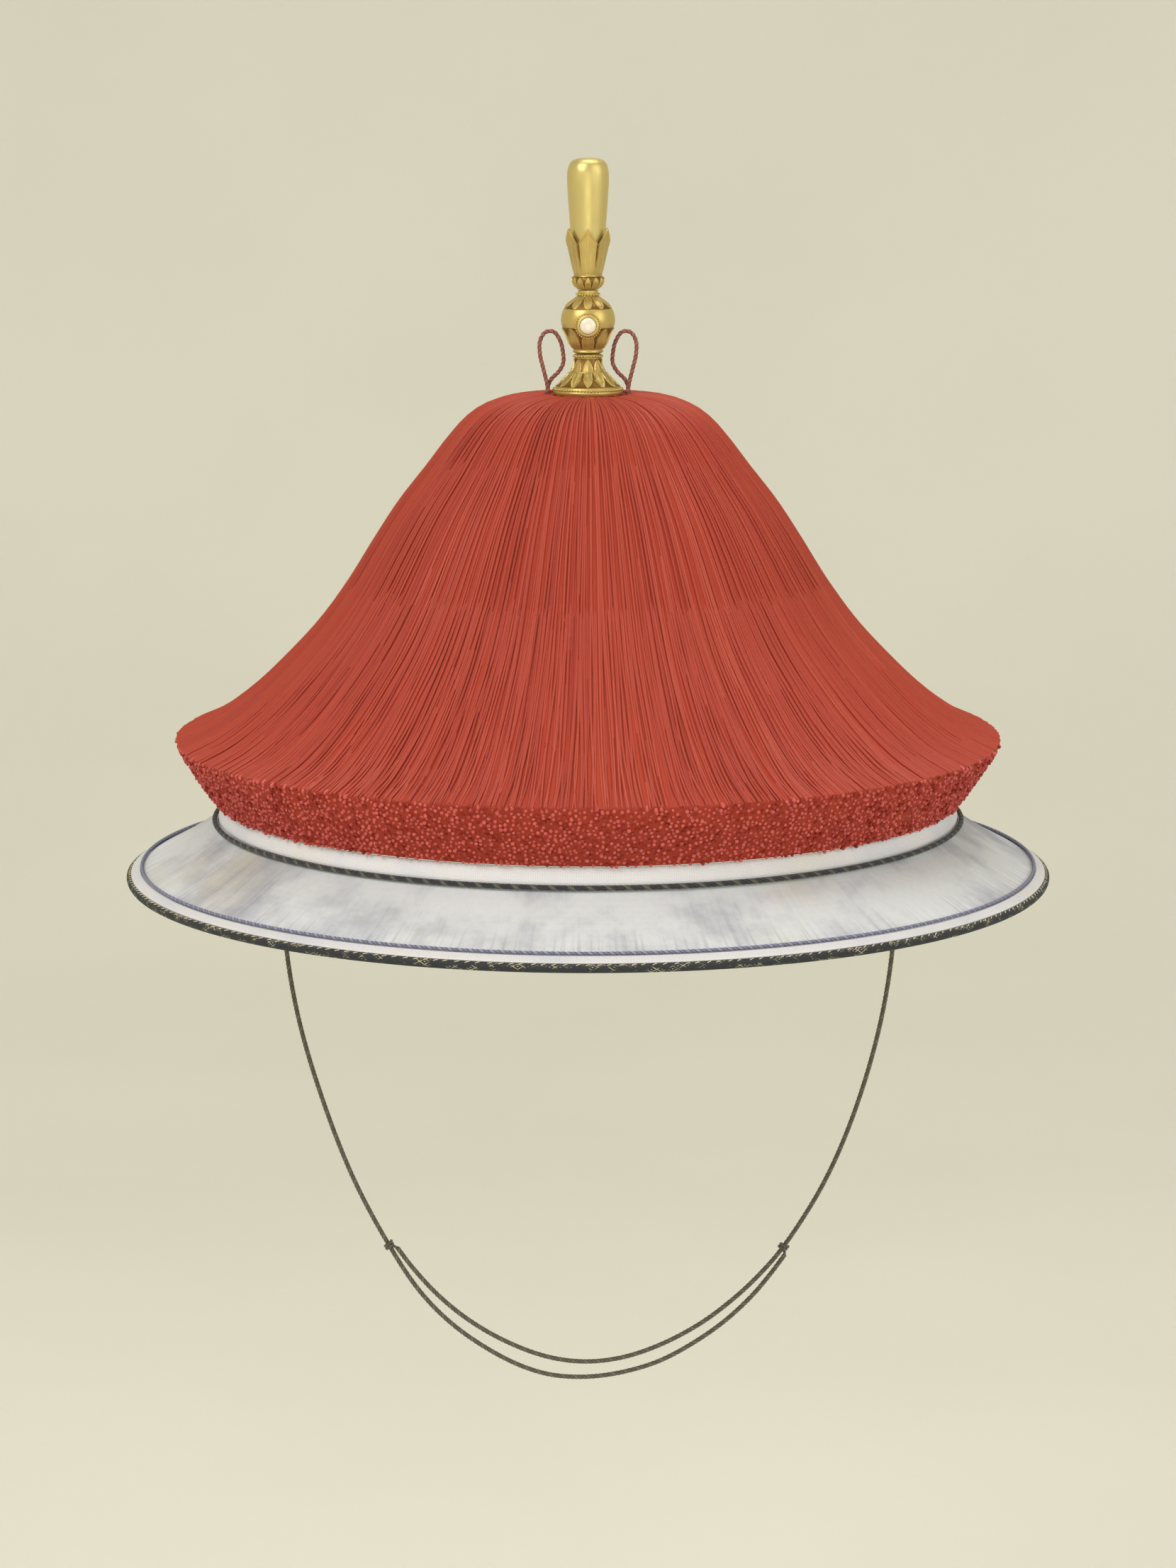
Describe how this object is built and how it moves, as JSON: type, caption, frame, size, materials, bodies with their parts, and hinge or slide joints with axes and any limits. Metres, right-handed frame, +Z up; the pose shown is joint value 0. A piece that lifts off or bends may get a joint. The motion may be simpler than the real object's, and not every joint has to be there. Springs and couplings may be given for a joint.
{
  "type": "summer court hat",
  "caption": "Flared straw court hat in pale gauze under a bell of red silk threads, with a gilt finial and crystal, red cord loops and a chin cord on slip knots.",
  "frame": {"origin": "on the axis at the level where the inside of the cone sits on a head, 52 mm above the rim", "axes": "+Z up along the axis through the finial, -Y towards the front, where the crystal is, +X to the right as seen from the front"},
  "size_m": [0.2994, 0.2994, 0.4026],
  "materials": {
    "gauze": "pale silk gauze with faint blue-grey mottling over straw",
    "brocade": "dark brocade flecked with gold",
    "white_silk": "plain white silk",
    "blue_piping": "blue-grey silk piping",
    "red_silk": "soft sheen of fine red silk threads",
    "gilt": "chased gilt with darker hollows",
    "gold": "smooth satin gold",
    "crystal": "polished milky white stone",
    "post": "plain turned brass",
    "red_cord": "twisted red-brown silk cord",
    "dark_cord": "twisted dark grey-brown cord"
  },
  "bodies": {
    "root": {"brim": "gauze", "crown": "gauze", "rim_binding": "brocade", "rim_tape": "white_silk", "rim_piping": "blue_piping", "crown_piping": "brocade", "crown_band": "white_silk", "silk_fringe": "red_silk", "finial_base": "gilt", "finial_bulb": "gilt", "crystal": "crystal", "petal_cup": "gilt", "gold_tip": "gold", "finial_post": "post", "cord_loop_left": "red_cord", "cord_loop_right": "red_cord", "chin_cord_left": "dark_cord", "chin_cord_right": "dark_cord", "slip_knot_left": "dark_cord", "slip_knot_right": "dark_cord", "cord_tab_left": "white_silk", "cord_tab_right": "white_silk"}
  },
  "joints": []
}
